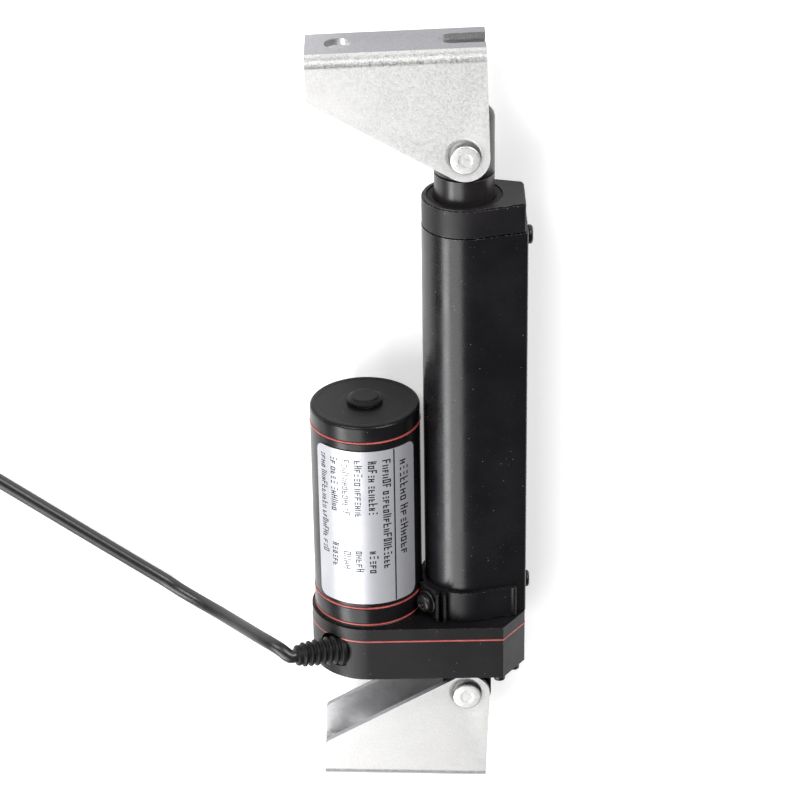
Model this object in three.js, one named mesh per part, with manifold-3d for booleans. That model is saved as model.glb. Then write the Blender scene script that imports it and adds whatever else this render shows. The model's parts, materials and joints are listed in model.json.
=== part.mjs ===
// Linear actuator, 100 mm stroke, with a hinge bracket on each end. Millimetres.
// The rod axis runs along +Y and the actuator lies on its back, so +Z is up.
import * as THREE from 'three';
import { mergeVertices } from 'three/addons/utils/BufferGeometryUtils.js';
import Module from 'manifold-3d';

const wasm = await Module();
wasm.setup();

// ---- driving dimensions -------------------------------------------------
const PIN_PITCH = 205;          // rear pin to front pin, rod fully in
const STROKE = 100;
const REST_Z = 20.1;              // rod axis above the table
const SHIFT_X = 19.1, SHIFT_Y = -102.465;   // puts the origin under the middle of the part

const MOTOR_X = -34, SHELL_R = 18.7, SHELL_IN_R = 17.2;
const Y_BOT = 12, Y_COVER = 27.15, Y_GASK0 = 27.3, Y_GASK1 = 27.75, Y_UPPER = 27.9, Y_DECK = 32.4;
const Y_BOSS = 33.4, Y_RING0 = 34.15, Y_RING1 = 40.0, Y_SHELL0 = 40.75, Y_SHELL1 = 104.85, Y_CAP0 = 105.6, Y_CAP1 = 111.4;
const BOX_R = 20, BOX_CORNER_X = 12.4, BOX_RIGHT_X = 20.3, BOX_RIGHT_Z = 9;

const TUBE_R = 14.2, TUBE_RIGHT_X = 20.6, TUBE_RIGHT_Z = 9.2, BORE_R = 11.6, Y_TUBE0 = 32.7, Y_TUBE1 = 177.2;
const Y_FCAP0 = 177.6, Y_FCAP1 = 187.5;
const ROD_R = 9.9, ROD_BORE_R = 5.5, Y_ROD0 = 58.3, Y_ROD1 = 195.7, Y_END0 = 196, Y_END1 = 217.5;
const SCREW_R = 4, JOURNAL_R = 2.5;
const NUT_Y0 = 50, NUT_Y1 = 58;

const M1 = 0.6, PINION_T = 12, WHEEL_T = 44;     // first stage
const M2 = 0.8, SMALL_T = 12, OUTPUT_T = 32;     // second stage
const D1 = M1 * (PINION_T + WHEEL_T) / 2, D2 = M2 * (SMALL_T + OUTPUT_T) / 2;

const PIN_R = 4, HOLE_R = 4.3, PIN_HEAD_R = 4.75;
const BR_H = 36.3, BR_W2 = 12.6, BR_T = 2.2, BR_RO = 2.7, BR_LEFT = 49.6, BR_LOBE = 8, BR_SIDE = 21.2;
const FRONT_TURN = 1.7, REAR_TURN = -2.3;        // how the brackets stand on their pins, degrees
const LUG_R = 8.5, LUG_W2 = 9.8;

const CORD_R = 2.4, COIL_R = 28, COIL_HALF = 5.2, COIL_H = 10;

// ---- helpers -------------------------------------------------------------
const rad = (a) => a * Math.PI / 180;

function solidOf(geometry) {
  let g = geometry.clone();
  for (const n of Object.keys(g.attributes)) if (n !== 'position') g.deleteAttribute(n);
  g = mergeVertices(g, 1e-4);
  const p = g.attributes.position.array, raw = g.index.array, tri = [];
  for (let i = 0; i < raw.length; i += 3) {
    const [a, b, c] = [raw[i], raw[i + 1], raw[i + 2]];
    if (a !== b && b !== c && c !== a) tri.push(a, b, c);
  }
  let vol = 0;
  for (let i = 0; i < tri.length; i += 3) {
    const [a, b, c] = [tri[i] * 3, tri[i + 1] * 3, tri[i + 2] * 3];
    vol += p[a] * (p[b + 1] * p[c + 2] - p[b + 2] * p[c + 1]) + p[a + 1] * (p[b + 2] * p[c] - p[b] * p[c + 2]) + p[a + 2] * (p[b] * p[c + 1] - p[b + 1] * p[c]);
  }
  if (vol < 0) for (let i = 0; i < tri.length; i += 3) [tri[i], tri[i + 1]] = [tri[i + 1], tri[i]];
  return new wasm.Manifold(new wasm.Mesh({ numProp: 3, vertProperties: new Float32Array(p), triVerts: new Uint32Array(tri) }));
}

function geometryOf(solid) {
  const m = solid.getMesh();
  const g = new THREE.BufferGeometry();
  g.setAttribute('position', new THREE.BufferAttribute(new Float32Array(m.vertProperties), 3));
  g.setIndex(new THREE.BufferAttribute(new Uint32Array(m.triVerts), 1));
  g.computeVertexNormals();
  return g;
}

const shapeOf = (pts) => new THREE.Shape(pts.map(([a, b]) => new THREE.Vector2(a, b)));
const flat = (pts, depth) => new THREE.ExtrudeGeometry(shapeOf(pts), { depth, bevelEnabled: false, steps: 1, curveSegments: 1 });

// outline in (x, z), standing along Y
function prismY(pts, y0, y1) {
  const g = flat(pts.map(([x, z]) => [x, -z]), y1 - y0);
  g.rotateX(-Math.PI / 2);
  g.translate(0, y0, 0);
  return solidOf(g);
}
// outline in (x, y), standing along Z
function prismZ(pts, z0, z1) {
  const g = flat(pts, z1 - z0);
  g.translate(0, 0, z0);
  return solidOf(g);
}
// outline in (y, z), standing along X
function prismX(pts, x0, x1) {
  const g = flat(pts, x1 - x0);
  g.applyMatrix4(new THREE.Matrix4().makeBasis(new THREE.Vector3(0, 1, 0), new THREE.Vector3(0, 0, 1), new THREE.Vector3(1, 0, 0)));
  g.translate(x0, 0, 0);
  return solidOf(g);
}
// closed profile of [radius, height] turned about an axis through `at` along `dir`
function turned(profile, at = [0, 0, 0], dir = [0, 1, 0], seg = 24) {
  const pts = profile.map(([r, h]) => new THREE.Vector2(r, h));
  const g = new THREE.LatheGeometry([...pts, pts[0].clone()], seg);
  const q = new THREE.Quaternion().setFromUnitVectors(new THREE.Vector3(0, 1, 0), new THREE.Vector3(...dir).normalize());
  g.applyQuaternion(q);
  g.translate(...at);
  return solidOf(g);
}
const rod = (r, y0, y1, x = 0, z = 0, seg = 26) => turned([[0, y0], [r, y0], [r, y1], [0, y1]], [x, 0, z], [0, 1, 0], seg);
const ring = (ro, ri, y0, y1, x = 0, z = 0, seg = 26) => turned([[ri, y0], [ro, y0], [ro, y1], [ri, y1]], [x, 0, z], [0, 1, 0], seg);
const rodZ = (r, z0, z1, x, y, seg = 20) => turned([[0, z0], [r, z0], [r, z1], [0, z1]], [x, y, 0], [0, 0, 1], seg);
function block(x0, x1, y0, y1, z0, z1) {
  const g = new THREE.BoxGeometry(x1 - x0, y1 - y0, z1 - z0);
  g.translate((x0 + x1) / 2, (y0 + y1) / 2, (z0 + z1) / 2);
  return solidOf(g);
}
function arc(cx, cz, r, a0, a1, n) {
  const out = [];
  for (let i = 0; i <= n; i++) {
    const a = rad(a0 + (a1 - a0) * i / n);
    out.push([cx + r * Math.cos(a), cz + r * Math.sin(a)]);
  }
  return out;
}

// ---- outlines ------------------------------------------------------------
// gear case: half round about the motor, straight sides, chamfered corners on the right
const caseOutline = (o = 0) => [
  ...arc(MOTOR_X, 0, BOX_R + o, 90, 270, 20),
  [BOX_CORNER_X + 0.4 * o, -BOX_R - o], [BOX_RIGHT_X + o, -BOX_RIGHT_Z - 0.4 * o],
  [BOX_RIGHT_X + o, BOX_RIGHT_Z + 0.4 * o], [BOX_CORNER_X + 0.4 * o, BOX_R + o],
];
// tube: round left end, sides running straight to a flat right end with eased corners
function tubeOutline(o = 0, right = TUBE_RIGHT_X) {
  const r = TUBE_R + o, px = right + o, pz = TUBE_RIGHT_Z + o * 0.7;
  const t = Math.atan2(pz, px) + Math.acos(r / Math.hypot(px, pz));
  const deg = t * 180 / Math.PI;
  const ux = Math.sin(t), uz = -Math.cos(t);     // along the upper side, towards the right end
  const e = 1.1;
  return [
    ...arc(0, 0, r, deg, 360 - deg, 20),
    [px - ux * e, -pz - uz * e], [px - 0.25 * e, -pz + 0.25 * e], [px, -pz + e],
    [px, pz - e], [px - 0.25 * e, pz - 0.25 * e], [px - ux * e, pz + uz * e],
  ];
}
const idlerX = MOTOR_X + (34 * 34 + D1 * D1 - D2 * D2) / 68;
const idlerZ = Math.sqrt(D1 * D1 - (idlerX - MOTOR_X) ** 2);
const gearRoom = (y0, y1) => rod(14.1, y0, y1, MOTOR_X, 0, 22).add(rod(14.5, y0, y1, idlerX, idlerZ, 26)).add(rod(14.1, y0, y1, 0, 0, 26));

const COVER_SCREWS = [[11.2, 16.9], [16.4, 10.1], [11.2, -16.9], [16.4, -10.1], [-50.5, 0]];

// ---- scene graph ---------------------------------------------------------
const group = new THREE.Group();
const machine = new THREE.Group();
machine.position.set(SHIFT_X, SHIFT_Y, REST_Z);
group.add(machine);
function put(name, solid, color, roughness, metalness, parent = machine) {
  const mesh = new THREE.Mesh(solid.isBufferGeometry ? solid : geometryOf(solid), new THREE.MeshStandardMaterial({ color, roughness, metalness }));
  mesh.name = name;
  parent.add(mesh);
  return mesh;
}
const BLACK = [0x1b191c, 0.42, 0.3], RED = [0xc4504f, 0.5, 0], STEEL = [0xb9bbbf, 0.3, 1], ZINC = [0xdcdbdd, 0.38, 0.9];
const BRASS = [0xb08a3e, 0.35, 1], RUBBER = [0x161517, 0.7, 0], NYLON = [0xe8e4d8, 0.5, 0];

// strain relief axis: out of the case's front left, mostly sideways and a little up
const RELIEF_AT = [-44, 21.9, 15], RELIEF_DIR = [-0.9385, 0.06, 0.34];

// lower case with the rear lug
let cover = prismY(caseOutline(), Y_BOT, Y_COVER);
cover = cover.subtract(gearRoom(14.8, 40));
cover = cover.add(block(-LUG_R, LUG_R, 0, Y_BOT + 0.8, -LUG_W2, LUG_W2)).add(rodZ(LUG_R, -LUG_W2, LUG_W2, 0, 0, 36));
cover = cover.subtract(rodZ(HOLE_R, -20, 20, 0, 0));
for (const [x, z] of COVER_SCREWS) cover = cover.subtract(rod(1.55, 5, 30, x, z, 10));
const reliefPocket = turned([[0, -0.9], [6.2, -0.9], [6.2, 9], [0, 9]], RELIEF_AT, RELIEF_DIR, 20);
cover = cover.subtract(reliefPocket);
cover = cover.subtract(turned([[0, -7], [3.4, -7], [3.4, 0], [0, 0]], RELIEF_AT, RELIEF_DIR, 20));
put('gear_case_lower', cover, ...BLACK);

let gasket = prismY(caseOutline(0.1), Y_GASK0, Y_GASK1).subtract(gearRoom(20, 40));
for (const [x, z] of COVER_SCREWS) gasket = gasket.subtract(rod(1.55, 5, 30, x, z, 10));
gasket = gasket.subtract(reliefPocket);
put('gear_case_gasket', gasket, ...RED);

let upper = prismY(caseOutline(), Y_UPPER, Y_DECK).add(rod(18.85, Y_DECK - 1, Y_BOSS, MOTOR_X, 0, 32));
upper = upper.subtract(gearRoom(20, 30.2));
upper = upper.subtract(rod(3, 20, 40, MOTOR_X, 0, 20)).subtract(rod(5, 20, 40, 0, 0, 24));
for (const [x, z] of COVER_SCREWS) upper = upper.subtract(rod(1.55, 20, 30.6, x, z, 10));
upper = upper.subtract(reliefPocket);
put('gear_case_upper', upper, ...BLACK);

put('motor_gasket_lower', ring(18.95, 9, 33.55, 34.0, MOTOR_X, 0, 32), ...RED);
put('motor_adapter_ring', ring(18.85, 5.8, Y_RING0, Y_RING1, MOTOR_X, 0, 32), ...BLACK);
put('motor_gasket_middle', ring(18.95, 15, 40.15, 40.6, MOTOR_X, 0, 32), ...RED);
put('motor_shell', ring(SHELL_R, SHELL_IN_R, Y_SHELL0, Y_SHELL1, MOTOR_X, 0, 36), ...BLACK);
put('motor_gasket_upper', ring(18.9, 15, 105.0, 105.45, MOTOR_X, 0, 32), ...RED);
put('motor_end_cap', turned([[5.8, Y_CAP0], [SHELL_R, Y_CAP0], [SHELL_R, 110.5], [SHELL_R - 0.9, Y_CAP1], [4.3, Y_CAP1], [4.3, 108.6], [5.8, 108.6]], [MOTOR_X, 0, 0], [0, 1, 0], 32), ...BLACK);
put('motor_end_plug', turned([[0, 109.6], [4, 109.6], [4, 111.7], [6.1, 111.7], [6.1, 113.5], [5.6, 113.9], [0, 113.9]], [MOTOR_X, 0, 0], [0, 1, 0], 18), ...BLACK);

// name plate: a thin curved foil around the front of the shell
const labelArc = (r0, r1, a0, a1) => [...arc(MOTOR_X, 0, r1, a0, a1, 20), ...arc(MOTOR_X, 0, r0, a1, a0, 20)];
put('name_plate', prismY(labelArc(18.95, 19.1, 32, 148), 42.4, 102.2), 0xd5d7de, 0.35, 0.6);

// motor internals
const magnet = (a0) => prismY([...arc(MOTOR_X, 0, 16.9, a0, a0 + 130, 12), ...arc(MOTOR_X, 0, 14.4, a0 + 130, a0, 12)], 48, 92);
put('motor_magnet_a', magnet(-65), 0x4a4748, 0.7, 0.1);
put('motor_magnet_b', magnet(115), 0x4a4748, 0.7, 0.1);
put('motor_bearing_front', ring(5.5, 2.3, 34.9, 39.2, MOTOR_X, 0, 24), ...STEEL);
put('motor_bearing_rear', ring(5.5, 2.3, 104.2, 108.2, MOTOR_X, 0, 24), ...STEEL);
put('motor_brush_plate', ring(16.8, 5.5, 94.5, 96.5, MOTOR_X, 0, 28), ...NYLON);
put('motor_shaft', rod(2, 22.8, 108, MOTOR_X, 0, 20), ...STEEL);
const coreOutline = [];
for (let i = 0; i < 7; i++) {
  const a = i * 360 / 7;
  coreOutline.push(...arc(MOTOR_X, 0, 13.6, a + 4, a + 360 / 7 - 4, 4), ...arc(MOTOR_X, 0, 7, a + 360 / 7 - 4, a + 360 / 7 + 4, 1));
}
put('motor_armature', prismY(coreOutline, 52, 88).subtract(rod(2.2, 50, 90, MOTOR_X, 0, 20)), 0x8a5a34, 0.45, 0.6);
put('motor_commutator', ring(5, 2.2, 90, 99, MOTOR_X, 0, 22), 0xb87333, 0.35, 1);

// gears
function gearOutline(teeth, m, x, z, phase) {
  const r = m * teeth / 2, p = 360 / teeth, out = [];
  for (let i = 0; i < teeth; i++) {
    const a = phase + i * p;
    for (const [q, f] of [[r - 1.2 * m, -0.25], [r + 0.75 * m, -0.11], [r + 0.75 * m, 0.11], [r - 1.2 * m, 0.25]]) {
      out.push([x + q * Math.cos(rad(a + f * p)), z + q * Math.sin(rad(a + f * p))]);
    }
  }
  return out;
}
const dir1 = Math.atan2(idlerZ, idlerX - MOTOR_X) * 180 / Math.PI;       // motor towards idler
const dir2 = Math.atan2(-idlerZ, -idlerX) * 180 / Math.PI;               // idler towards screw
put('motor_pinion', prismY(gearOutline(PINION_T, M1, MOTOR_X, 0, dir1), 23.2, 26.8).subtract(rod(2.2, 20, 30, MOTOR_X, 0, 20)), ...BRASS);
const wheel = prismY(gearOutline(WHEEL_T, M1, idlerX, idlerZ, dir1 + 180 + 180 / WHEEL_T), 23.5, 26.5);
const small = prismY(gearOutline(SMALL_T, M2, idlerX, idlerZ, dir2), 16.2, 24);
put('idler_gear', wheel.add(small).subtract(rod(1.8, 10, 30, idlerX, idlerZ, 18)), ...NYLON);
put('idler_axle', rod(1.5, 15.1, 29.9, idlerX, idlerZ, 16), ...STEEL);
put('output_gear', prismY(gearOutline(OUTPUT_T, M2, 0, 0, dir2 + 180 + 180 / OUTPUT_T), 16.5, 21.5).subtract(rod(2.7, 10, 30, 0, 0, 20)), ...NYLON);
put('lead_screw', turned([[0, 15.2], [JOURNAL_R, 15.2], [JOURNAL_R, 39.6], [SCREW_R, 39.9], [SCREW_R, 169], [SCREW_R - 1, 170], [0, 170]], [0, 0, 0], [0, 1, 0], 24), ...STEEL);
put('screw_bearing', ring(11.2, 2.8, 33.2, 39.2, 0, 0, 30), ...STEEL);

// outer tube, front cap and rod guide
let tube = prismY(tubeOutline(), Y_TUBE0, Y_TUBE1);
tube = tube.subtract(rod(BORE_R, 0, 200, 0, 0, 28)).subtract(block(6, 18.5, 0, 200, -6.2, 6.2));
for (const y of [40.2, 172.6]) tube = tube.subtract(turned([[0, 0], [1.8, 0], [1.8, 10], [0, 10]], [15, y, 0], [1, 0, 0], 14));
put('outer_tube', tube, ...BLACK);
let fcap = prismY(tubeOutline(-0.1, 19.9), Y_FCAP0, Y_FCAP1 - 0.8).add(prismY(tubeOutline(-0.7, 19.9), Y_FCAP1 - 0.8 - 0.01, Y_FCAP1));
fcap = fcap.subtract(rod(10.4, 170, 200, 0, 0, 28)).subtract(rod(12.6, 184.3, 200, 0, 0, 28));
put('front_cap', fcap, ...BLACK);
put('rod_bush', ring(11.3, 10.15, 163, 177, 0, 0, 36), ...NYLON);
put('rod_wiper_seal', turned([[10.1, 184.6], [12.4, 184.6], [12.4, 187.2], [11.2, 187.2], [10.1, 186.6]], [0, 0, 0], [0, 1, 0], 26), ...RUBBER);

// strap clamp round the foot of the tube
const STRAP0 = 32.9, STRAP1 = 43.9;
let strap = prismY(tubeOutline(1.7), STRAP0, STRAP1).subtract(prismY(tubeOutline(0.2), 20, 60)).subtract(block(16.8, 40, 20, 60, -30, 30));
strap = strap.add(block(-10.9, -9.7, STRAP0, STRAP1, 11.6, 16.6)).add(block(-8.3, -7.1, STRAP0, STRAP1, 13.4, 16.6));
strap = strap.add(rodLike(16.8, 1)).add(rodLike(16.8, -1));
function rodLike(x, s) {
  // rolled end of the strap, lying on the tube's side
  const t = tubeOutline(1.0), up = t.filter(([a, b]) => b * s > 0 && a > 5);
  const [p, q] = [t[0], t[t.length - 1]];
  const k = (x - p[0]) / (q[0] - p[0]);
  return rod(1.05, STRAP0, STRAP1, x - 0.6, s * (p[1] + (q[1] - p[1]) * k + 0.35), 14);
}
const EAR = 140, ec = Math.cos(rad(EAR)), es = Math.sin(rad(EAR));
const ear = block(-4.4, 4.4, STRAP0, STRAP1, 14.9, 17.2);        // face along +Z, turned to the ear's direction
strap = strap.add(ear.rotate([0, -(EAR - 90) , 0]));
const strapY = (STRAP0 + STRAP1) / 2;
strap = strap.subtract(turned([[0, 10], [1.8, 10], [1.8, 24], [0, 24]], [0, strapY, 0], [ec, 0, es], 16));
strap = strap.subtract(prismY(tubeOutline(0.2), 20, 60));
strap = strap.subtract(turned([[0, 17.2], [4.45, 17.2], [4.45, 24], [0, 24]], [0, strapY, 0], [ec, 0, es], 24));
strap = strap.subtract(rod(19.12, 20, 60, MOTOR_X, 0, 44));
put('tube_strap', strap, ...BLACK);
put('strap_washer', turned([[1.8, 17.5], [4.1, 17.5], [4.1, 18.3], [1.8, 18.3]], [0, strapY, 0], [ec, 0, es], 24), ...BLACK);
put('strap_screw', turned([[0, 14.8], [1.45, 14.8], [1.45, 18.6], [3.3, 18.6], [3.3, 19.7], [2.4, 20.5], [0, 20.7]], [0, strapY, 0], [ec, 0, es], 24), ...BLACK);

// screws in the flat side of the tube
const sideScrew = (r, h) => [[0, 18.6], [1.4, 18.6], [1.4, TUBE_RIGHT_X + 0.25], [r, TUBE_RIGHT_X + 0.25], [r, TUBE_RIGHT_X + 0.25 + 0.5 * h], [0.7 * r, TUBE_RIGHT_X + 0.25 + h], [0, TUBE_RIGHT_X + 0.25 + h]];
put('tube_screw_upper', turned(sideScrew(3.2, 1.7), [0, 172.6, 0], [1, 0, 0], 22), ...BLACK);
put('tube_screw_lower', turned(sideScrew(2.9, 1.4), [0, 40.2, 0], [1, 0, 0], 22), ...BLACK);

COVER_SCREWS.forEach(([x, z], i) => put('case_screw_' + (i + 1), turned([[0, 9.6], [1.6, 9.6], [2.1, 10.1], [2.1, 11.7], [1.25, 11.7], [1.25, 30], [0, 30]], [x, 0, z], [0, 1, 0], 12), ...BLACK));

// limit switches on a slim board in the tube's side channel
put('switch_board', block(16.6, 17.9, 46, 160, -5.4, 5.4), 0x2f6a3c, 0.5, 0);
put('limit_switch_rear', block(12.6, 16.3, 52, 60, -2.9, 2.9), ...RUBBER);
put('limit_switch_front', block(12.6, 16.3, 150, 158, -2.9, 2.9), ...RUBBER);

// strain relief: flange, six ribs on a tapering boot
const relief = [[0, -0.6], [5.8, -0.6], [5.8, 1.2], [4.5, 1.2]];
for (let i = 0; i < 6; i++) {
  const s = 2.2 + i * 2.2, r = 5.1 - i * 0.16;
  relief.push([r, s], [r, s + 1.0], [r - 1.0, s + 1.3]);
}
relief.push([3.7, 15.6], [3.4, 16.6], [0, 16.6]);
put('strain_relief', turned(relief, RELIEF_AT, RELIEF_DIR, 14), ...RUBBER);

// ---- rod -------------------------------------------------------------------
put('rod_tube', turned([[ROD_BORE_R, Y_ROD0], [ROD_R, Y_ROD0], [ROD_R, Y_ROD1], [0, Y_ROD1], [0, 190], [ROD_BORE_R, 190]], [0, 0, 0], [0, 1, 0], 30), ...BLACK);
let end = turned([[0, Y_END0], [ROD_R, Y_END0], [ROD_R, Y_END1 - 3], [ROD_R - 0.9, Y_END1 - 0.9], [ROD_R - 3, Y_END1], [0, Y_END1]], [0, 0, 0], [0, 1, 0], 30);
end = end.subtract(rodZ(HOLE_R, -20, 20, 0, PIN_PITCH));
put('rod_end', end, ...BLACK);
put('drive_nut', turned([[SCREW_R + 0.3, NUT_Y0], [10.8, NUT_Y0], [10.8, NUT_Y1], [5.2, NUT_Y1], [5.2, NUT_Y1 + 5], [SCREW_R + 0.3, NUT_Y1 + 5]], [0, 0, 0], [0, 1, 0], 32), ...BRASS);

// ---- hinge brackets ----------------------------------------------------------
// u runs along the base, v from the pin to the base, both brackets are the same part
function bracket(s) {
  const w = BR_W2, t = BR_T, ro = BR_RO, ri = Math.max(ro - t, 0.4);
  const outer = [[-0, -w]];
  const prof = [];
  const bend = (cy, cz, r, a0, a1) => arc(cy, cz, r, a0, a1, 5);
  prof.push([-14, -w], ...bend(BR_H - ro, -(w - ro), ro, -90, 0).map(([a, b]) => [a, b]));
  prof.push(...bend(BR_H - ro, w - ro, ro, 0, 90));
  prof.push([-14, w], [-14, w - t]);
  prof.push(...bend(BR_H - ro, w - ro, ri, 90, 0), ...bend(BR_H - ro, -(w - ro), ri, 0, -90), [-14, -(w - t)]);
  const channel = prismX(prof.map(([a, b]) => [s * a, b]), -BR_LEFT, BR_LOBE);
  const d = Math.hypot(BR_LEFT, BR_SIDE), slope = Math.atan2(BR_SIDE, BR_LEFT) + Math.asin(BR_LOBE / d);
  const a0 = 270 - slope * 180 / Math.PI;
  const side = [[-BR_LEFT, BR_H + 1], [-BR_LEFT, BR_SIDE], ...arc(0, 0, BR_LOBE, a0, 360, 20), [BR_LOBE, BR_H + 1]];
  let b = channel.intersect(prismZ(side.map(([a, c]) => [a, s * c]), -20, 20));
  b = b.subtract(rodZ(HOLE_R, -20, 20, 0, 0));
  const y0 = s > 0 ? BR_H - 6 : -BR_H - 4, y1 = s > 0 ? BR_H + 4 : -BR_H + 6;
  b = b.subtract(rod(4.2, y0, y1, -39.1, 0.25, 24).add(rod(4.2, y0, y1, -39.1, -0.25, 24)));
  b = b.subtract(rod(4.4, y0, y1, -2.4, 0, 24)).subtract(block(-2.4, 20, y0, y1, -4.4, 4.4));
  return b;
}
const pinSolid = () => turned([
  [0, -15.0], [PIN_HEAD_R - 0.8, -15.0], [PIN_HEAD_R, -14.4], [PIN_HEAD_R, -12.9], [PIN_R, -12.9], [PIN_R, 12.9], [PIN_HEAD_R, 12.9], [PIN_HEAD_R, 14.5],
  [PIN_HEAD_R - 0.5, 15.0], [0, 15.0]], [0, 0, 0], [0, 0, 1], 20);
const frontHinge = new THREE.Group();
frontHinge.position.set(0, PIN_PITCH, 0);
frontHinge.rotation.z = rad(FRONT_TURN);
machine.add(frontHinge);
put('front_bracket', bracket(1), ...ZINC, frontHinge);
put('front_pin', pinSolid(), ...ZINC, frontHinge);
const rearHinge = new THREE.Group();
rearHinge.rotation.z = rad(REAR_TURN);
machine.add(rearHinge);
put('rear_bracket', bracket(-1), ...ZINC, rearHinge);
put('rear_pin', pinSolid(), ...ZINC, rearHinge);

// ---- supply lead -------------------------------------------------------------
const FLOOR = -REST_Z;
const along = (s) => RELIEF_AT.map((v, i) => v + RELIEF_DIR[i] * s);
const CORD = [
  along(17.1), along(18.6), [-65.0, 25.4, 20.2], [-68.6, 26.3, 17.5], [-72.2, 26.3, 13.7], [-76.6, 25.7, 8.0], [-81.1, 25.0, 2.0],
  [-87.1, 24.7, -5.0], [-94.5, 25.7, -11.3], [-101.7, 28.2, -15.4], [-106.6, 31.0, -17.1], [-112.0, 34.7, FLOOR + CORD_R + 0.15], [-122.44, 42.44, FLOOR + CORD_R + 0.12],
  [-162.65, 72.6, FLOOR + CORD_R + 0.12], [-176.8, 83.2, FLOOR + CORD_R + 0.12],
];
{
  const path = new THREE.CatmullRomCurve3(CORD.map((p) => new THREE.Vector3(...p)), false, 'centripetal');
  const section = shapeOf(arc(0, 0, CORD_R / Math.cos(Math.PI / 8) * 0.985, 22.5, 337.5, 7));
  const g = new THREE.ExtrudeGeometry(section, { steps: 30, bevelEnabled: false, extrudePath: path, curveSegments: 1 });
  g.computeBoundingBox();
  put('supply_lead', solidOf(g), ...RUBBER);
}
const COIL_AT = [-211.4, 74.2];
put('supply_lead_coil', turned([[COIL_R - COIL_HALF, 0], [COIL_R + COIL_HALF, 0], [COIL_R + COIL_HALF, COIL_H], [COIL_R - COIL_HALF, COIL_H]], [COIL_AT[0], COIL_AT[1], FLOOR], [0, 0, 1], 28), ...RUBBER);

export default group;
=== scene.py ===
import bpy, bmesh, json, math, random
from mathutils import Vector, Matrix, Quaternion

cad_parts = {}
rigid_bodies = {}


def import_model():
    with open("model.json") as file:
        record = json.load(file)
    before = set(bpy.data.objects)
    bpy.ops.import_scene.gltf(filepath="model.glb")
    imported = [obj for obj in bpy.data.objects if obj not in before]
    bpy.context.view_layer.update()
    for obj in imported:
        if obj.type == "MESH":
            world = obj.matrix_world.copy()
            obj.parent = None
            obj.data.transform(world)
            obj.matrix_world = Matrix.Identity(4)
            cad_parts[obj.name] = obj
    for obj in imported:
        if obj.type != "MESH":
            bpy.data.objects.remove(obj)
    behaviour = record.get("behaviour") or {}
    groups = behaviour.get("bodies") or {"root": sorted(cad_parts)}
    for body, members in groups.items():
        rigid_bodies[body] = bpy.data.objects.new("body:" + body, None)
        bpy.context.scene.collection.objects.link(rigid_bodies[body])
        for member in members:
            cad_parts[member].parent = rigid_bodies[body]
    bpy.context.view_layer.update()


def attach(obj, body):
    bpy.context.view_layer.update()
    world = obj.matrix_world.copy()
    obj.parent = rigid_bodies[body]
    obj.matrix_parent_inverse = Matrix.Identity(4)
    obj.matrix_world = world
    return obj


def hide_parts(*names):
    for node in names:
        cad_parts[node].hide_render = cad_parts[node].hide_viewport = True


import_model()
rnd = random.Random(7)

# ---------------------------------------------------------------- frame
# shapes are written in mm about the rod axis (rear pin at y 0) and moved into the row frame by W
SX, SY, SZ = 19.1, -102.465, 20.1
def W(p):
    return Vector(((p[0] + SX) / 1000, (p[1] + SY) / 1000, (p[2] + SZ) / 1000))
rad = math.radians

MX = -34.0                     # motor axis
FRONT_TURN, REAR_TURN = 1.7, -2.3

# ---------------------------------------------------------------- camera
cam_data = bpy.data.cameras.new("camera")
cam = bpy.data.objects.new("camera", cam_data)
bpy.context.scene.collection.objects.link(cam)
back = Vector((-0.0011, 0.47000, 0.88266)).normalized()
up0 = Vector((0.0165, 0.8825, -0.4700))
right = up0.cross(back).normalized()
up0 = back.cross(right).normalized()
m = Matrix((right, up0, back)).transposed().to_4x4()
m.translation = W((-23.08, 557.35, 836.99))
cam.matrix_world = m
cam_data.sensor_width = 36.0
cam_data.lens = 126.08
cam_data.clip_start, cam_data.clip_end = 0.05, 20
bpy.context.scene.camera = cam

# ---------------------------------------------------------------- mesh helpers
def link(o):
    bpy.context.scene.collection.objects.link(o)
    return o

def mesh_obj(name, verts, faces):
    me = bpy.data.meshes.new(name)
    me.from_pydata([W(v) for v in verts], [], faces)
    bm = bmesh.new(); bm.from_mesh(me)
    bmesh.ops.remove_doubles(bm, verts=bm.verts, dist=1e-8)
    bmesh.ops.recalc_face_normals(bm, faces=bm.faces)
    bm.to_mesh(me); bm.free()
    return link(bpy.data.objects.new(name, me))

def prism(pts, a0, a1, axis="Y", name="t"):
    n = len(pts)
    def put(p, a):
        return {"Y": (p[0], a, p[1]), "Z": (p[0], p[1], a), "X": (a, p[0], p[1])}[axis]
    v = [put(p, a0) for p in pts] + [put(p, a1) for p in pts]
    f = [tuple(range(n))[::-1], tuple(range(n, 2 * n))]
    f += [(i, (i + 1) % n, n + (i + 1) % n, n + i) for i in range(n)]
    return mesh_obj(name, v, f)

def turned(profile, at=(0, 0, 0), d=(0, 1, 0), seg=64, name="t", closed=True):
    q = Vector((0, 1, 0)).rotation_difference(Vector(d).normalized())
    v, f, rows = [], [], []
    for r, h in profile:
        if r < 1e-6:
            rows.append([len(v)]); v.append(Vector(at) + q @ Vector((0, h, 0)))
        else:
            rows.append(list(range(len(v), len(v) + seg)))
            for i in range(seg):
                a = 2 * math.pi * i / seg
                v.append(Vector(at) + q @ Vector((r * math.cos(a), h, r * math.sin(a))))
    k = len(rows)
    for i in range(k if closed else k - 1):
        A, B = rows[i], rows[(i + 1) % k]
        if len(A) == 1 and len(B) == 1:
            continue
        for j in range(seg):
            j2 = (j + 1) % seg
            if len(A) == 1: f.append((A[0], B[j2], B[j]))
            elif len(B) == 1: f.append((A[j], A[j2], B[0]))
            else: f.append((A[j], A[j2], B[j2], B[j]))
    return mesh_obj(name, v, f)

def cyl(r, a0, a1, at=(0, 0, 0), d=(0, 1, 0), seg=48):
    return turned([(0, a0), (r, a0), (r, a1), (0, a1)], at, d, seg)

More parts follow.
